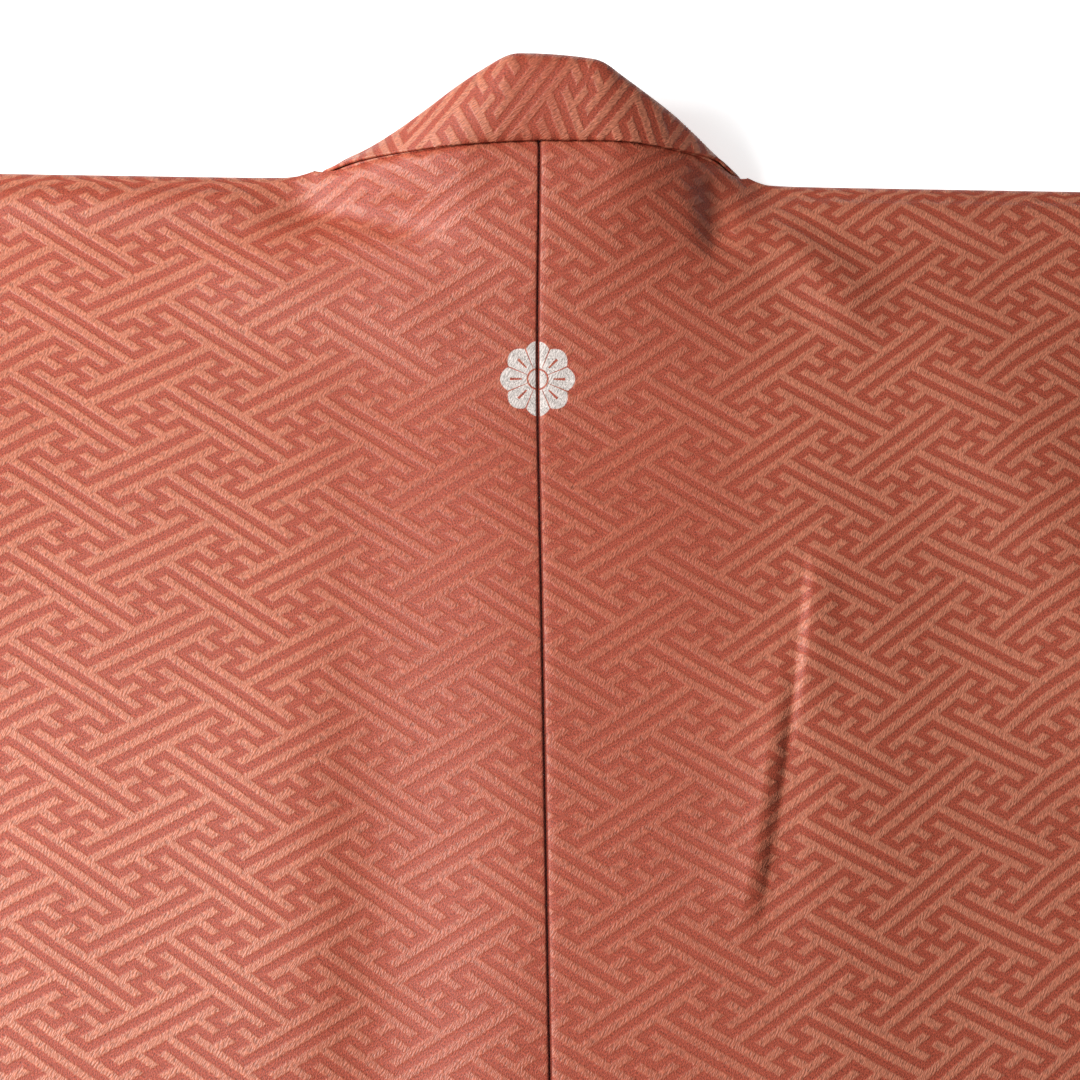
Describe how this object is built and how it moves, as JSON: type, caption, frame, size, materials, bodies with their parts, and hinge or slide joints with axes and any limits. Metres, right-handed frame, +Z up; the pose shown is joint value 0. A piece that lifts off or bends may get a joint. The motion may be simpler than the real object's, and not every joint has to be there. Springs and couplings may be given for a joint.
{
  "type": "irotomesode kimono",
  "caption": "Formal kimono laid face down with the back up, sleeves spread, fronts crossed beneath and the collar standing at the neck.",
  "frame": {"origin": "middle of the footprint, on the surface that the kimono lies on", "axes": "+Y from the hem to the collar, +X to the wearer's right side, which is on the right as the back faces up, +Z up"},
  "size_m": [1.283, 1.6268, 0.0376],
  "materials": {
    "silk": "figured silk, tone on tone",
    "collar_silk": "figured silk, tone on tone"
  },
  "bodies": {
    "root": {"body_left": "silk", "body_right": "silk", "overlap_left": "silk", "overlap_right": "silk", "sleeve_left": "silk", "sleeve_right": "silk", "collar": "collar_silk", "collar_cover": "collar_silk"}
  },
  "joints": []
}
